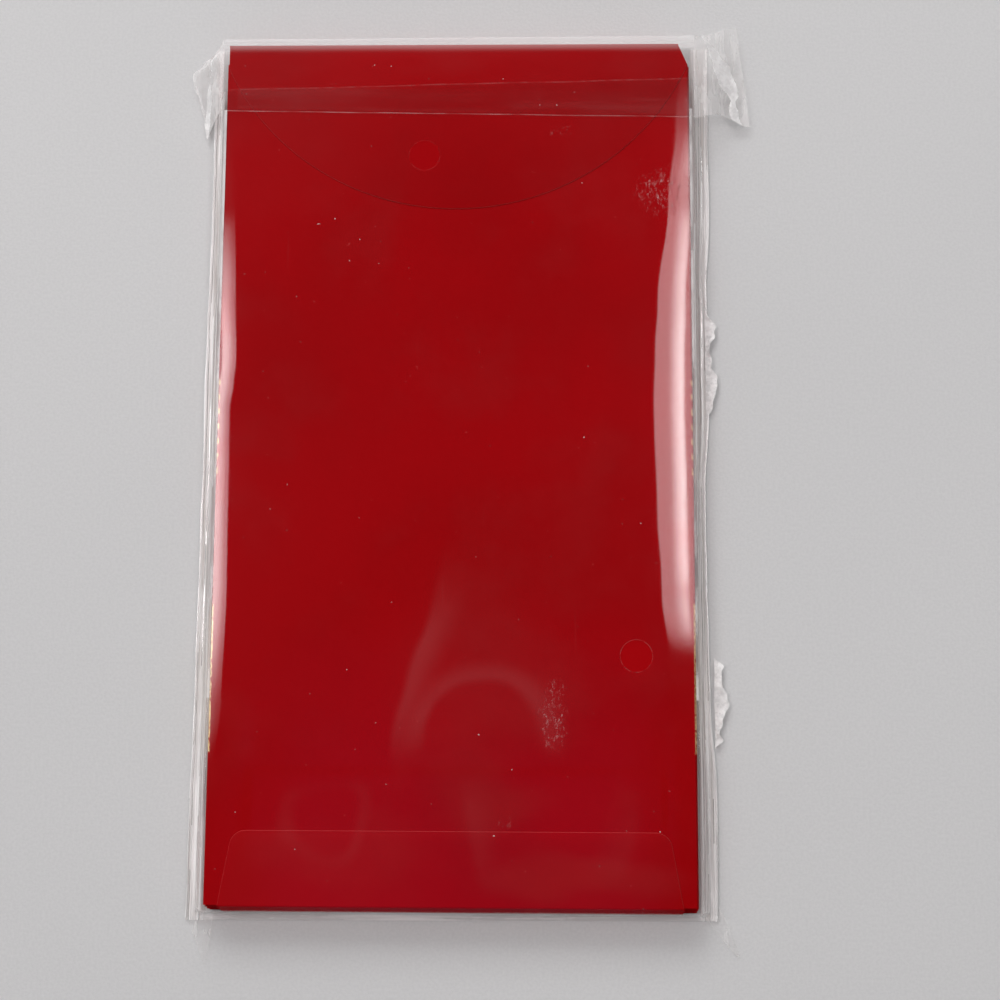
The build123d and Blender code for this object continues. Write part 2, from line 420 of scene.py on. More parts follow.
def creased_film(name, clear, white, grain, stretch, relief=0.4):
    """Film with many fine creases: some turn white, partly from stress and partly as painted highlights, some show
    as dark lines of painted shade where they mirror darker surroundings, and between them it stays clear.
    """
    made, tree, shader = material(name)
    lines = noise_of(tree, place(tree), grain, 3, 0.6, stretch=stretch)
    seen = mirrored_share(tree, clear, 0.6, 4.0)
    # White creases: partly stress whitening, partly painted highlights.
    seen = sums(tree, "ADD", seen, ranged(tree, lines, 0.50, 0.58, 0, white))
    # Dark creases: painted shade where the creases mirror darker surroundings.
    seen = sums(tree, "ADD", seen, ranged(tree, lines, 0.33, 0.40, white * 0.6, 0), clamp=True)
    creased = ranged(tree, lines, 0.38, 0.44, 0, 1)
    # The greyer tone on the dark creases is painted shade.
    tone = mixed(tree, creased, (0.80, 0.77, 0.74, 1), (1.0, 0.985, 0.97, 1))
    feed(tree, shader, Alpha=seen, Base_Color=tone, Roughness=ranged(tree, lines, 0.35, 0.65, 0.12, 0.35))
    bumped(tree, shader, lines, relief, 0.0002)
    return made


def milky_film(name, alpha_low, alpha_high, stretch=None, gloss=0.0):
    """Film that a cut, a weld or a hard crease has turned white; also film painted white as a highlight."""
    made, tree, shader = material(name)
    grain = noise_of(tree, place(tree), 700, 4, stretch=stretch)
    tone = mixed(tree, grain, (0.90, 0.90, 0.89, 1), (0.98, 0.98, 0.97, 1))
    seen = ranged(tree, grain, 0.35, 0.65, alpha_low, alpha_high)
    feed(tree, shader, Alpha=seen, Base_Color=tone, Roughness=ranged(tree, grain, 0.35, 0.65, 0.18, 0.45))
    shader.inputs["Metallic"].default_value = gloss
    bumped(tree, shader, grain, 0.3, 0.00006)
    return made


def shaded_crease():
    """A sharp crease in the film that turns away from the light."""
    made, tree, shader = material("shaded_crease")
    streak = noise_of(tree, place(tree), 700, 3, stretch=(1, 0.05, 1))
    tone = mixed(tree, streak, (0.24, 0.21, 0.20, 1), (0.42, 0.39, 0.37, 1))
    seen = ranged(tree, streak, 0.35, 0.65, 0.15, 0.35)
    feed(tree, shader, Alpha=seen, Base_Color=tone, Roughness=ranged(tree, streak, 0.3, 0.7, 0.15, 0.35))
    return made


def clear_adhesive():
    made, tree, shader = material("clear_adhesive_band")
    streak = noise_of(tree, place(tree), 240, 5, 0.65, stretch=(0.08, 1, 1))
    tone = mixed(tree, streak, (0.80, 0.78, 0.76, 1), (0.95, 0.94, 0.93, 1))
    seen = ranged(tree, streak, 0.42, 0.72, 0.002, 0.020)
    feed(tree, shader, Alpha=seen, Base_Color=tone, Roughness=ranged(tree, streak, 0.3, 0.7, 0.35, 0.6))
    bumped(tree, shader, streak, 0.2, 0.00003)
    return made


# Rubbed places on the film: x, y, half width, half height, strength
SCUFFS = [
    (40.6, 53.0, 7.5, 6.0, 0.75),
    (18.7, -48.0, 3.4, 6.5, 0.6),
    (19.0, -42.6, 2.6, 3.0, 0.5),
    (9.9, -66.2, 1.8, 1.4, 0.5),
    (20.0, 65.4, 4.0, 1.6, 0.25),
]
# Painted reflection arcs: x and y of the circle, its radius, fade, lowest and highest y, strength
ARCS = [
    (64.8, -60.0, 80.0, -11.0, -62.0, -12.0, 0.022),
    (5.6, -52.5, 9.4, 7.5, -57.0, -31.0, 0.017),
    (-25.0, -66.0, 9.0, -5.0, -76.0, -56.0, 0.009),
    (20.0, -66.0, 19.0, -9.0, -82.0, -56.0, 0.010),
]
# Painted reflection glows, reddish: x, y, half width, half height, strength
GLOWS = [
    (4.0, -38.0, 28.0, 26.0, 0.012),
    (10.0, -64.5, 17.0, 7.0, 0.012),
    (26.0, -77.0, 26.0, 5.0, 0.020),
    (-20.0, -72.0, 24.0, 9.0, 0.010),
]

plain_paper = red_paper("coated_red_paper", foil=None)
printed_paper = red_paper("coated_red_paper_with_foil_band", foil=0, cut=False)
back_paper = red_paper("coated_red_paper_with_foil_edge", foil=FOIL_EDGE)
glue = dried_glue()
film = clear_film("clear_sleeve_film", scuffs=SCUFFS, arcs=ARCS, glows=GLOWS)
under_film = clear_film("clear_front_film", cloud=0.02)
# The flap film whitens towards the mouth fold as a painted reflection of its bend.
flap_film = clear_film("clear_flap_film", cloud=0.012, streaks=0.02, rim=(81.0, 84.6, 0.26))
web_film = clear_film("clear_web_film", cloud=0.012, streaks=0.02)
fin_film = creased_film("creased_side_film", 0.62, 0.36, 1250, (1, 0.018, 0.5), relief=0.10)
wall_film = creased_film("creased_wall_film", 0.16, 0.34, 900, (1, 0.02, 0.6), relief=0.10)
ear_film = creased_film("crumpled_flap_film", 0.24, 0.16, 420, (1, 0.25, 1))
corner_film = creased_film("loose_corner_film", 0.14, 0.22, 420, (1, 0.3, 1))
cut_edge = milky_film("film_cut_edge", 0.03, 0.16, stretch=(0.3, 1, 1))
tucked_edge = milky_film("tucked_film_edge", 0.01, 0.05)
# White lines on the side film: partly stress-whitened creases, partly painted highlights where they catch the
# lights.
whitened_and_highlit_line = milky_film("whitened_and_highlit_crease", 0.60, 0.95, stretch=(1, 0.05, 1), gloss=0.6)
# A white line painted as the highlight on the film's crest where it turns down over the stack's edges.
edge_highlight = milky_film("stack_edge_highlight", 0.02, 0.60, stretch=(0.4, 0.09, 0.4), gloss=0.25)
dark_line = shaded_crease()
folded_edge = milky_film("folded_film_edge", 0.55, 0.90, stretch=(0.06, 1, 1), gloss=0.1)
punched_edge = milky_film("punched_film_edge", 0.0, 0.035)
clear_rim = milky_film("clear_punched_edge", 0.0, 0.012)
weld = milky_film("welded_film_edge", 0.55, 0.90, stretch=(1, 0.06, 1), gloss=0.4)
# White film for the loose torn weld, and for the flap's right-end facet painted white as its highlight.
torn_and_highlit = milky_film("torn_weld_and_highlit_film", 0.70, 0.97)
adhesive = clear_adhesive()

for name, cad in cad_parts.items():
    if name.endswith("glue"):
        worn(cad, glue)
    elif name.endswith(("front_panel", "folded_edges")):
        worn(cad, printed_paper)
    elif name.endswith("back_panel"):
        worn(cad, back_paper)
    elif name.startswith("envelope"):
        worn(cad, plain_paper)
    else:
        worn(cad, film)


# ---------------------------------------------------------------- paper flaps, with their cut edges rounded

PRESSED = 0.65                   # what is left of the paper's thickness along a flap's free edges
CUT_ROUND = 0.08
SAME = 1e-6                      # metres within which points and levels count as one


def rounded_flap(name, body):
    """The flap again, its upper cut edge pressed round all along except where it runs into the fold."""
    low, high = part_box(name)
    seam = low.y if "bottom" in name else high.y
    flap = bpy.data.objects.new(name + "_rounded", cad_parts[name].data.copy())
    bpy.context.scene.collection.objects.link(flap)
    bpy.ops.object.select_all(action="DESELECT")
    flap.select_set(True)
    bpy.context.view_layer.objects.active = flap
    bpy.ops.mesh.customdata_custom_splitnormals_clear()
    bpy.ops.object.mode_set(mode="EDIT")
    bpy.ops.mesh.select_mode(type="EDGE")
    bpy.ops.mesh.select_all(action="SELECT")
    bpy.ops.mesh.remove_doubles(threshold=SAME)
    bpy.ops.mesh.dissolve_limited(angle_limit=math.radians(1))
    bpy.ops.mesh.select_all(action="DESELECT")
    bpy.ops.object.mode_set(mode="OBJECT")
    points = flap.data.vertices
    for edge in flap.data.edges:
        a, b = (points[i].co for i in edge.vertices)
        edge.select = min(a.z, b.z) > high.z - SAME and max(abs(a.y - seam), abs(b.y - seam)) > SAME
    for point in points:
        if abs(point.co.y - seam) > SAME:
            point.co.z = low.z + (point.co.z - low.z) * PRESSED
    bpy.ops.object.mode_set(mode="EDIT")
    bpy.ops.mesh.bevel(offset=CUT_ROUND * MM, segments=3, affect="EDGES")
    bpy.ops.object.mode_set(mode="OBJECT")
    bpy.ops.object.shade_smooth_by_angle(angle=math.radians(40))
    worn(flap, plain_paper)
    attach(flap, body)
    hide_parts(name)


for number in range(1, ENVELOPES + 1):
    for part in ("top_flap", "bottom_flap"):
        rounded_flap(f"envelope_{number}_{part}", f"envelope_{number}")


# ---------------------------------------------------------------- back film of the sleeve

# (y, distance from the middle) of the line where the film starts to roll down, and of the film's outer edge
RIGHT_ROLL = [
    (-84, 43.5), (-52, 42.6), (-38, 40.4), (-24, 38.6), (-7, 38.1), (12, 37.5), (22, 37.8), (31, 38.5),
    (51, 41.2), (67, 43.5), (76, 45.0),
]
LEFT_ROLL = [
    (-84, 45.0), (-63, 44.8), (-45, 42.9), (-26, 42.4), (-7, 42.6), (11, 42.8), (15, 42.2), (20, 41.8),
    (32, 42.3), (54, 43.0), (70, 44.6), (84, 45.2),
]
RIGHT_FIN = [
    (-84, 49.0), (-63, 49.3), (-45, 48.2), (-26, 47.9), (-7, 47.8), (13, 48.6), (33, 48.5), (53, 49.1), (76, 49.2),
]
LEFT_FIN = [(-84, 49.4), (-63, 49.3), (-45, 49.0), (13, 48.8), (53, 48.5), (76, 48.5)]
PATCH = (-37.5, 39.0, -68.0, -57.0)   # where the film lies a little higher, above the lower flap
WALL_FOOT = 1.1                  # below this the side film lies out flat
EDGE_LINE = (-44.0, 70.0)        # where a painted highlight runs along the film's crest at the stack's edges
FIN_START = 0.15                 # creased film starts this far past the stack's edge
EDGE_WIDTH = 0.42                # and the painted highlight is this wide inside it
TUCK_WIDTH, TUCK_SIDE = 0.26, 47.0    # the edge at the mouth, tucked under the closing flap
HEM_SIDE = 46.5
MOUTH_STRETCH = 66.0             # past this the rows lean to follow the mouth's edge
# Raised creases along the sides: distance from the middle, height, width, seed
CREASES = [
    (46.15, 0.12, 0.18, 1.0),
    (46.95, 0.22, 0.20, 2.0),
    (47.75, 0.20, 0.20, 3.0),
    (48.45, 0.20, 0.22, 4.0),
    (49.15, 0.16, 0.18, 5.0),
]
# Lines along the sides, white ones partly painted highlights and dark ones painted shade: distance from the
# middle, half width, how much of the length has them, look, seed
FIN_LINES = [
    (45.80, 0.14, 0.45, whitened_and_highlit_line, 31),
    (46.55, 0.08, -0.20, dark_line, 32),
    (47.05, 0.10, 0.20, whitened_and_highlit_line, 33),
    (47.75, 0.10, -0.20, dark_line, 34),
    (48.35, 0.10, 0.20, whitened_and_highlit_line, 35),
    (49.25, 0.12, -0.05, dark_line, 36),
]
BACK_LOOKS = [film, fin_film, tucked_edge, folded_edge, whitened_and_highlit_line, dark_line, edge_highlight, wall_film]


def fin_level(x, y):
    """Height of the film past the stack, where it lies out almost flat and a little wavy."""
    side = 1 if x > 0 else -1
    lift = FIN_LEVEL + 0.16 * ripple(0, y, 14, 2 + side) + 0.12 * ripple(abs(x) * 3, y, 5, 5 + side)
    return max(0.14, lift * (1 - 0.35 * smooth((abs(x) - 49.2) / 0.9)))


def fin_edge(x, y):
    """How far out the side film reaches, from the middle."""
    return along(RIGHT_FIN if x > 0 else LEFT_FIN, y) + 0.18 * ripple(0, y, 9, 6 if x > 0 else 7)


def drawn_in(x, y):
    """The film past the stack's edge, drawn in to where its outer edge runs."""
    out = abs(x) - STACK_EDGE
    if out <= 0:
        return x
    return math.copysign(STACK_EDGE + out * (fin_edge(x, y) - STACK_EDGE) / (SEAL_EDGE - STACK_EDGE), x)


def back_film_level(x, y):
    """Height of the back film: slack over the stack, rolled down round its edges and creased along its sides."""
    ax, side = abs(x), 1 if x > 0 else -1
    roll = along(RIGHT_ROLL if side > 0 else LEFT_ROLL, y)
    bent = past(ax - (0.5 * roll + 19.1 if side > 0 else roll), 0.5)
    top = BACK_LEVEL + 0.08 * smooth((58 - y) / 12) * smooth((y + 82) / 6) - 0.03 * (ax / 42) ** 2
    top -= 0.04 * past(ax - roll, 0.5) + (0.004 if side > 0 else 0.012) * bent ** 2
    flat = 1 - smooth((ax - 36) / 4)
    slack = 1 + 1.2 * smooth((-10 - y) / 30)
    top += flat * slack * (0.035 * ripple(x, y, 26, 1) + 0.012 * ripple(x, y, 10, 3))
    inner = min(x - PATCH[0], PATCH[1] - x, PATCH[3] - y, y - PATCH[2] + 4)
    top += 0.04 * smooth((inner + 0.4) / 0.8) * smooth((y - PATCH[2]) / 4)
    turned = (1 - smooth((ax - STACK_EDGE) / WALL_RUN)) * (1 - smooth((FOOT_START - y) / FOOT_RUN))
    fin = fin_level(x, y)
    level = fin + (top - fin) * turned
    if ax > STACK_EDGE:
        for place_x, height, wide, seed in CREASES:
            middle = place_x + 0.35 * ripple(0, y, 32, seed + side) + 0.10 * ripple(0, y, 7, seed)
            ridge = math.exp(-((ax - middle) / wide) ** 2) * smooth((ax - STACK_EDGE) / 0.5)
            level += height * (0.6 + 0.8 * ripple(0, y, 22, seed + 9)) * ridge
    return level


def mouth_edge(x):
    """Where the back film ends, under the closing flap."""
    return MOUTH_EDGE + 0.0225 * x + 0.15 * ripple(x, 0, 12, 4)


def drawn_round(x, y, vent):
    """Pulls the square grid round a vent onto circles, so that one ring of points lies on the hole's edge."""
    off = Vector((x - vent[0], y - vent[1]))
    ring = max(abs(off.x), abs(off.y))
    if ring < 1e-6 or ring >= VENT_REACH:
        return x, y
    circle = 1 - smooth((ring - VENT_RADIUS) / (VENT_REACH - VENT_RADIUS))
    off = off.lerp(off * (ring / off.length), circle)
    return vent[0] + off.x, vent[1] + off.y


def back_film_point(x, y):
    """A flat grid's point moved onto the draped back film, with its hem at the lower end."""
    if y > MOUTH_STRETCH:
        lean = (mouth_edge(x) - MOUTH_STRETCH) / (MOUTH_EDGE - MOUTH_STRETCH)
        y = MOUTH_STRETCH + (y - MOUTH_STRETCH) * lean
    x, y = drawn_round(*drawn_round(x, y, LOW_VENT), HIGH_VENT)
    level = back_film_level(x, y)
    x = drawn_in(x, y)
    y += (0.0052 * x - 0.20) * smooth((HEM_START - y) / 0.8)
    return x, y, level


half = spread(
    (0, 1.8, 0.9), (1.8, 10.8, 0.5), (10.8, 29.5, 0.95), (29.5, 38.5, 0.5), (38.5, 45, 0.4), (45, SEAL_EDGE, 0.12)
)
low, high = LOW_VENT[1], HIGH_VENT[1]
rows = spread(
    (FILM_FOOT, -82, 0.11),
    (-82, low - VENT_REACH, 0.9),
    (low - VENT_REACH, low + VENT_REACH, 0.5),
    (low + VENT_REACH, high - VENT_REACH, 0.9),
    (high - VENT_REACH, high + VENT_REACH, 0.5),
    (high + VENT_REACH, MOUTH_EDGE - 0.25, 0.9),
    (MOUTH_EDGE - 0.25, MOUTH_EDGE, 0.25),
)
back_film = film_sheet("sleeve_back_and_sides", both_sides(half), rows, back_film_point)
worn(back_film, *BACK_LOOKS)


def punch(sheet, x, y):
    """Opens a round hole in the sheet: the faces inside the ring of points on the circle go."""
    bpy.ops.object.select_all(action="DESELECT")
    sheet.select_set(True)
    bpy.context.view_layer.objects.active = sheet
    bpy.ops.object.mode_set(mode="EDIT")
    bpy.ops.mesh.select_mode(type="FACE")
    bpy.ops.mesh.select_all(action="DESELECT")
    bpy.ops.object.mode_set(mode="OBJECT")
    for face in sheet.data.polygons:
        face.select = (face.center.xy / MM - Vector((x, y))).length < VENT_RADIUS
    bpy.ops.object.mode_set(mode="EDIT")
    bpy.ops.mesh.delete(type="FACE")
    bpy.ops.object.mode_set(mode="OBJECT")


def vent_rim(name, x, y, look):
    """The thin raised rim that the punch leaves round a vent hole."""
    bpy.ops.object.select_all(action="DESELECT")
    bpy.ops.mesh.primitive_torus_add(
        location=(x * MM, y * MM, 0),
        major_radius=VENT_RADIUS * MM,
        minor_radius=RIM_RADIUS * MM,
        major_segments=72,
        minor_segments=8,
    )
    bpy.ops.object.transform_apply(location=True, rotation=True, scale=True)
    rim = bpy.context.object
    rim.name = rim.data.name = name
    for point in rim.data.vertices:
        film_under = back_film_level(point.co.x / MM, point.co.y / MM)
        point.co.z = point.co.z * RIM_SQUASH + (film_under + RIM_LIFT) * MM
    bpy.ops.object.shade_smooth()
    worn(rim, look)
    return rim


for vent in (LOW_VENT, HIGH_VENT):
    punch(back_film, *vent)


def back_film_look(middle):
    """What the back film looks like at one place, in millimetres."""
    out = abs(middle.x) - STACK_EDGE
    side = 1 if middle.x > 0 else -1
    look = film
    if out > FIN_START:
        wall = middle.z > WALL_FOOT
        look = wall_film if wall else fin_film
        across = STACK_EDGE + out * (SEAL_EDGE - STACK_EDGE) / (fin_edge(middle.x, middle.y) - STACK_EDGE)
        for line_x, wide, share, line_look, seed in FIN_LINES:
            line = line_x + 0.22 * ripple(0, middle.y, 38, seed + side)
            if wall:
                share -= 0.30 if line_look == whitened_and_highlit_line else 1.0
            if abs(across - line) < wide and ripple(0, middle.y, 26, seed + 7 * side) + share > 0:
                look = line_look
    elif out > -EDGE_WIDTH and EDGE_LINE[0] < middle.y < EDGE_LINE[1]:
        look = edge_highlight
    if middle.y > mouth_edge(middle.x) - TUCK_WIDTH and abs(middle.x) < TUCK_SIDE:
        look = tucked_edge
    if middle.y < HEM_START and abs(middle.x) < HEM_SIDE:
        look = folded_edge
    return look


for face in back_film.data.polygons:
    face.material_index = BACK_LOOKS.index(back_film_look(face.center / MM))
rims = [vent_rim("low_vent_rim", *LOW_VENT, punched_edge), vent_rim("high_vent_rim", *HIGH_VENT, clear_rim)]
back_film = joined("sleeve_back_and_sides", back_film, *rims)
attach(back_film, "sleeve")
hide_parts("sleeve_back_film", "sleeve_left_side_film", "sleeve_right_side_film", "sleeve_bottom_film")


# ---------------------------------------------------------------- front film, under the stack

FRONT_LOOKS = [under_film, fin_film]
FRONT_FIN_START = 0.2            # creased film starts this far past the stack's edge


def front_film_point(x, y):
    """A flat grid's point on the front film, which lifts to meet the side film past the stack."""
    out = smooth((abs(x) - 47.5) / 2.0)
    return drawn_in(x, y), y, 0.04 + out * max(0.0, fin_level(x, y) - 0.16)


half = spread((0, 46, 2.3), (46, SEAL_EDGE, 0.4))
rows = spread((FILM_FOOT, FILM_FOLD, 1.5))
front_film = film_sheet("sleeve_front", both_sides(half), rows, front_film_point)
worn(front_film, *FRONT_LOOKS)
for face in front_film.data.polygons:
    if abs(face.center.x) > (STACK_EDGE + FRONT_FIN_START) * MM:
        face.material_index = FRONT_LOOKS.index(fin_film)
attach(front_film, "sleeve")
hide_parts("sleeve_front_film")


# ---------------------------------------------------------------- welded side seams

def seal_bead(name, side):
    """The narrow melted edge that the hot knife leaves along one side."""
    def shape(across, y):
        wide = 0.26 + 0.14 * ripple(0, y, 14, 7 + side)
        x = fin_edge(side, y) - 0.2 + (across - 0.5) * 2 * max(0.10, wide)
        return side * x, y, fin_level(side * 50, y) + 0.05 + 0.10 * math.sin(math.pi * across)
    across = spread((0, 1, 0.2))
    return film_sheet(name, across if side > 0 else across[::-1], spread((FILM_FOOT, 75, 0.45)), shape)


def torn_flake(name, x, low, high, wide, seed):
    """A ragged white piece of the weld that has come loose and curls up along the edge."""
    def shape(across, t):
        y = low + (high - low) * t
        ends = smooth(t / 0.12) * smooth((1 - t) / 0.12)
        ragged = 0.7 + 0.5 * ripple(0, y, 5.0, seed) + 0.35 * ripple(0, y, 1.6, seed + 1)
        reach = wide * ends * max(0.3, ragged)
        edge = x + 0.3 * ripple(0, y, 8, seed + 2)
        lift = 0.55 + 0.5 * ends * across + 0.5 * crumple(across * 3, y, seed) * ends
        return edge + reach * across, y, max(0.2, lift)
    return film_sheet(name, spread((0, 1, 0.125)), spread((0, 1, 0.011)), shape)


right_seal = seal_bead("right_seal_bead", 1)
worn(right_seal, weld)
flakes = [
    torn_flake("upper_flake", 48.0, 9.5, 31.5, 2.3, 1),
    torn_flake("lower_flake", 48.9, -53.0, -36.0, 2.4, 4),
]
for flake in flakes:
    worn(flake, torn_and_highlit)
right_seal = joined("right_seal_bead", right_seal, *flakes)
left_seal = seal_bead("left_seal_bead", -1)
worn(left_seal, weld)
for seal, replaced in ((right_seal, "sleeve_right_seal"), (left_seal, "sleeve_left_seal")):
    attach(seal, "sleeve")
    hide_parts(replaced)


# ---------------------------------------------------------------- gathered film corners at the lower end

def film_corner(name, root_x, root_y, tip_x, tip_y, wide, seed):
    """A thin point of spare film that the fold at the lower end pushes out flat."""
    run = Vector((tip_x - root_x, tip_y - root_y))
    across_way = Vector((-run.y, run.x)).normalized()
    def shape(across, t):
        at = Vector((root_x, root_y)) + run * t + across_way * across * wide * (1 - 0.85 * t ** 1.3)
        lift = 0.5 * (crumple(at.x, at.y, seed) + 0.5) * smooth(t / 0.2) * (1 - 0.6 * t)
        return at.x, at.y, 0.22 + lift
    return film_sheet(name, spread((-0.5, 0.5, 0.07)), spread((0, 1, 0.04)), shape)


for corner in (
    film_corner("lower_left_film_corner", -46.6, -83.6, -45.6, -92.0, 4.6, 2),
    film_corner("lower_right_film_corner", 48.0, -82.8, 52.6, -90.5, 3.4, 5),
):
    worn(corner, corner_film)
    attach(corner, "sleeve")


# ---------------------------------------------------------------- film across the mouth, a strip for each envelope

WEB_LOW, WEB_HIGH = 0.07, 5.50
FOLD_END = 46.0                  # past this the fold and the free edge run straight out


def mouth_fold(x):
    """Where the closing flap turns down into the web."""
    return FILM_FOLD + 0.20 + 0.0047 * max(-FOLD_END, min(FOLD_END, x))


def free_edge(x):
    """Where the closing flap ends, on the back film."""
    return FREE_EDGE - 0.0175 * max(-FOLD_END, min(FOLD_END, x)) + 0.10 * ripple(x, 0, 10, 8)


def web_strip(number):
    """The film in front of one envelope, one strip of the web that rides the web's body."""
    low = STACK_LOW + LEVEL_PITCH * (ENVELOPES - number) - 0.02
    high = low + LEVEL_PITCH
    if number == ENVELOPES:
        low = WEB_LOW
    if number == 1:
        high = WEB_HIGH
    def shape(x, t):
        level = low + (high - low) * t
        return x, mouth_fold(x) - 0.05 * abs(ripple(x, level * 2, 7, 3)), level
    strip = film_sheet(f"mouth_web_{number}", spread((-46.2, 46.2, 1.2)), spread((0, 1, 0.25)), shape)
    strip.data.flip_normals()
    worn(strip, web_film)
    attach(strip, "top_web")
    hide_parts("sleeve_top_web")
    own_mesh(strip)


for number in range(1, ENVELOPES + 1):
    web_strip(number)


# ---------------------------------------------------------------- closing flap with its crumpled ends

EAR_START, RIGHT_END, LEFT_END = 46.0, 56.0, 53.0
# How far the left end reaches out, from the free edge, 0, to the mouth, 1
LEFT_EAR = [(0, 3.9), (0.2, 4.4), (0.47, 5.6), (0.6, 6.6), (0.75, 7.1), (0.88, 5.2), (0.98, 3.2), (1, 2.6)]
# The white band across the right end, a flat facet painted white as its highlight: (y, x of its middle) and (y,
# half its width), and half the left tail's width
FACET_MIDDLE = [(67.2, 55.2), (70.5, 54.1), (73.6, 53.9), (76, 52.7), (79.3, 51.65), (81.6, 50.3), (85, 47.9)]
FACET_HALF = [
    (67.2, 0.8), (70.5, 0.9), (72.8, 0.55), (73.8, 1.1), (76, 1.9), (79.3, 1.85), (81.6, 1.25), (85, 0.2)
]
TAIL_HALF = [(64, 0.5), (74, 0.6), (77, 0.01)]
WHITE_BAND_START = 47.5
ROLL_START, ROLL_DROP = 0.965, 0.10   # where the flap rolls over into the web, and how far it drops there
CUT_WIDTH = 0.2                  # the white cut along the free edge


def white_band(x, y):
    """1 in the middle of a white band and 0 at its sides: across the right end, where it is a painted highlight,
    or in the left end's tail.
    """
    if x > 0:
        off = x - along(FACET_MIDDLE, y) + 0.25 * ripple(x, y, 2.5, 14)
        return 1 - abs(off) / along(FACET_HALF, y)
    off = x + 50.05 - 0.087 * (y - 65.7) + 0.2 * ripple(x, y, 2.0, 15)
    return 1 - abs(off) / along(TAIL_HALF, y)


def flap_point(x, t):
    """t runs from the free edge, 0, to the fold at the mouth, 1. Past the stack the ends hang down, crumpled."""
    ax, side = abs(x), 1 if x > 0 else -1
    free, top = free_edge(x), mouth_fold(x)
    ear = max(0.0, (ax - EAR_START) / ((RIGHT_END if side > 0 else LEFT_END) - EAR_START))
    level = FLAP_LEVEL + 0.015 * ripple(x, free + 15 * t, 12, 9) + 0.012 * ripple(x * 0.4, 15 * t, 3, 10)
    if side > 0:
        top += 3.3 * smooth(ear)
        free -= 0.3 * ear - 1.6 * math.sin(math.pi * min(1, ear)) ** 2
        reach = EAR_START + ear * (11.3 - 2.3 * t)
        level -= 4.5 * smooth((ax - STACK_EDGE) / 10.6)
    else:
        top -= 0.8 * smooth(ear)
        free -= 4.2 * ear ** 2.4
        reach = EAR_START + ear * along(LEFT_EAR, t)
        level -= 4.9 * smooth((ax - STACK_EDGE) / 7.4)
    y = free + (top - free) * t
    if ax > EAR_START:
        x = side * reach
        loose = smooth(ear / 0.25)
        flat = 1 - 0.8 * smooth(white_band(x, y) + 0.4)
        crumpled = 1.3 * crumple(x * 0.45, y * 0.45, 1.0 + side) + 0.10 * ripple(x, y, 2.0, 12)
        level += loose * flat * crumpled
    near = smooth((ax - 44.5) / 2)
    level -= (1 - near) * 0.07 * smooth((t - 0.72) / 0.28) ** 1.5
    if t > ROLL_START:
        bend = (t - ROLL_START) / (1 - ROLL_START)
        level -= ROLL_DROP * (1 - math.sqrt(max(0.0, 1 - bend * bend))) * (1 - near)
    return x, y, max(0.4, level)


left = spread((0, 44, 1.1), (44, LEFT_END, 0.16))
right = spread((0, 44, 1.1), (44, RIGHT_END, 0.16))
columns = [-x for x in reversed(left)] + right[1:]
rows = spread((0, 0.012, 0.012), (0.012, 0.94, 0.0145), (0.94, 1, 0.0045))
flap = film_sheet("closing_flap", columns, rows, flap_point)
FLAP_LOOKS = [flap_film, ear_film, cut_edge, torn_and_highlit]
worn(flap, *FLAP_LOOKS)
for face in flap.data.polygons:
    middle = face.center / MM
    look = flap_film
    if abs(middle.x) > EAR_START:
        look = ear_film
    elif middle.y < free_edge(middle.x) + CUT_WIDTH:
        look = cut_edge
    # Faces on the white band take the white film; at the right end it is a painted highlight.
    if abs(middle.x) > WHITE_BAND_START and white_band(middle.x, middle.y) > 0:
        look = torn_and_highlit
    face.material_index = FLAP_LOOKS.index(look)
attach(flap, "closing_flap")
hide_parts("sleeve_closing_flap")


def adhesive_point(x, t):
    y = free_edge(x) + ADHESIVE_MARGIN + ADHESIVE_WIDTH * t + 0.06 * ripple(x, 0, 3, 13 + round(t))
    return x, y, ADHESIVE_LEVEL


band = film_sheet("flap_adhesive_band", spread((-43, 43, 1.0)), spread((0, 1, 0.1)), adhesive_point)
worn(band, adhesive)
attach(band, "closing_flap")
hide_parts("flap_adhesive_strip")


# ---------------------------------------------------------------- floor, light and camera

def pale_floor():
    bpy.ops.object.select_all(action="DESELECT")
    bpy.ops.mesh.primitive_plane_add(size=6, location=(0, 0, -0.0001))
    floor = bpy.context.object
    floor.name = "pale_floor"
    made, tree, shader = material("pale_studio_floor")
    where = place(tree)
    weave = noise_of(tree, where, 1800, 2)
    cloud = noise_of(tree, where, 7, 2)
    tone = mixed(tree, cloud, (0.67, 0.68, 0.68, 1), (0.74, 0.75, 0.745, 1))
    tone = mixed(tree, ranged(tree, weave, 0.3, 0.7, 0, 0.25), tone, (0.58, 0.59, 0.59, 1))
    feed(tree, shader, Base_Color=tone)
    shader.inputs["Roughness"].default_value = 0.8
    shader.inputs["Specular IOR Level"].default_value = 0.2
    bumped(tree, shader, weave, 0.25, 0.0002)
    worn(floor, made)


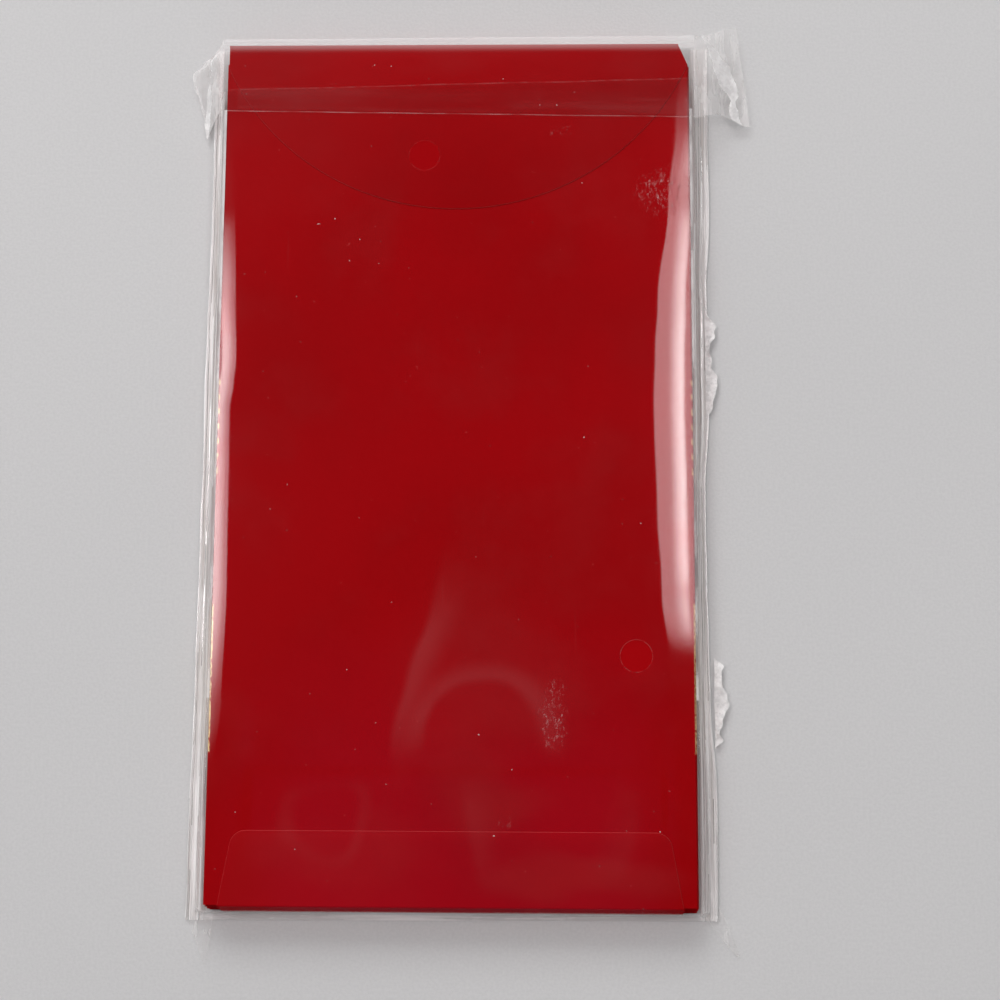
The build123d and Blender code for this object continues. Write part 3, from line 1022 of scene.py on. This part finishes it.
def panel(name, centre, size, radiance, aim=None, soft=(0.04, 0.04, 0.04, 0.04), tint=(1, 1, 1)):
    """A flat soft box, given by how bright its face is, which fades towards its four edges."""
    lamp = bpy.data.lights.new(name, "AREA")
    lamp.shape = "RECTANGLE"
    lamp.size, lamp.size_y = size
    lamp.energy = radiance * math.pi * size[0] * size[1]
    lamp.color = tint
    lamp.use_nodes = True
    tree = lamp.node_tree
    face = axes_of(tree, node(tree, "ShaderNodeNewGeometry").outputs["Parametric"])
    left, right, lower, upper = soft
    glow = window(tree, face["X"], 0, 1, left, right)
    glow = sums(tree, "MULTIPLY", glow, window(tree, face["Y"], 0, 1, lower, upper))
    tree.links.new(glow, tree.nodes["Emission"].inputs["Strength"])
    box = bpy.data.objects.new(name, lamp)
    bpy.context.scene.collection.objects.link(box)
    box.location = centre
    if aim is not None:
        box.rotation_euler = (Vector(aim) - Vector(centre)).to_track_quat("-Z", "Y").to_euler()


def studio():
    panel("right_strip", (0.298, 0.265, 1.0), (0.265, 0.51), 3.1,
          soft=(0.05, 0.3, 0.07, 0.3), tint=(1, 0.80, 0.82))
    panel("right_hot_strip", (0.284, 0.26, 0.99), (0.075, 0.48), 8.5,
          soft=(0.9, 0.08, 0.12, 0.55))
    panel("left_strip", (-0.454, 0.166, 1.0), (0.326, 0.50), 3.4,
          soft=(0.3, 0.05, 0.3, 0.3), tint=(1, 0.80, 0.84))
    panel("left_hot_strip", (-0.41, 0.166, 0.99), (0.16, 0.50), 5.0,
          soft=(0.1, 0.8, 0.3, 0.3))
    panel("right_edge_strip", (0.68, 0.20, 1.0), (0.14, 0.60), 8.0)
    panel("left_edge_strip", (-0.780, 0.18, 1.0), (0.25, 0.60), 5.5)
    panel("back_fill", (-0.30, 1.15, 0.72), (1.0, 0.5), 6.5, aim=(0, 0, 0))
    panel("front_fill", (0.05, -0.80, 0.26), (1.2, 0.35), 0.8, aim=(0, 0, 0))
    panel("front_glow", (-0.05, -0.12, 1.0), (0.44, 0.36), 0.06,
          soft=(0.25, 0.25, 0.1, 0.6), tint=(0.6, 0.3, 1.0))
    world = bpy.data.worlds.new("soft_room")
    bpy.context.scene.world = world
    world.use_nodes = True
    tree = world.node_tree
    sky = axes_of(tree, node(tree, "ShaderNodeTexCoord").outputs["Generated"])
    rise = ranged(tree, sky["Z"], 0.74, 0.95, 0.42, 0.008)
    lean = sums(tree, "SUBTRACT", sky["Y"], sums(tree, "MULTIPLY", sky["X"], 0.6))
    turn = ranged(tree, lean, -0.6, 0.35, 0.14, 1.0)
    tree.links.new(sums(tree, "MULTIPLY", rise, turn), tree.nodes["Background"].inputs["Strength"])
    tree.nodes["Background"].inputs["Color"].default_value = (1.0, 1.0, 1.02, 1)


CAMERA_TURN = ((-7.694, "X"), (-1.197, "Y"), (-0.278, "Z"))
CAMERA_SHIFT = (-8.76, 7.58, -283.72)   # the envelope's middle as the camera sees it
ENVELOPE_MIDDLE = (-0.15, 0.7, 5.38)
CAMERA_LENS = 54.16


def photo_camera():
    """The view from almost straight above, found from the four corners of the top envelope."""
    turn = Matrix.Identity(3)
    for degrees, axis in CAMERA_TURN:
        turn = turn @ Matrix.Rotation(math.radians(degrees), 3, axis)
    seen_from = Vector(ENVELOPE_MIDDLE) * MM - turn.transposed() @ (Vector(CAMERA_SHIFT) * MM)
    lens = bpy.data.cameras.new("photo_camera")
    lens.sensor_width = 36
    lens.lens = CAMERA_LENS
    lens.clip_start = 0.01
    camera = bpy.data.objects.new("photo_camera", lens)
    bpy.context.scene.collection.objects.link(camera)
    camera.matrix_world = Matrix.Translation(seen_from) @ turn.transposed().to_4x4()
    bpy.context.scene.camera = camera


pale_floor()
studio()
photo_camera()
bpy.context.scene.view_settings.view_transform = "Standard"
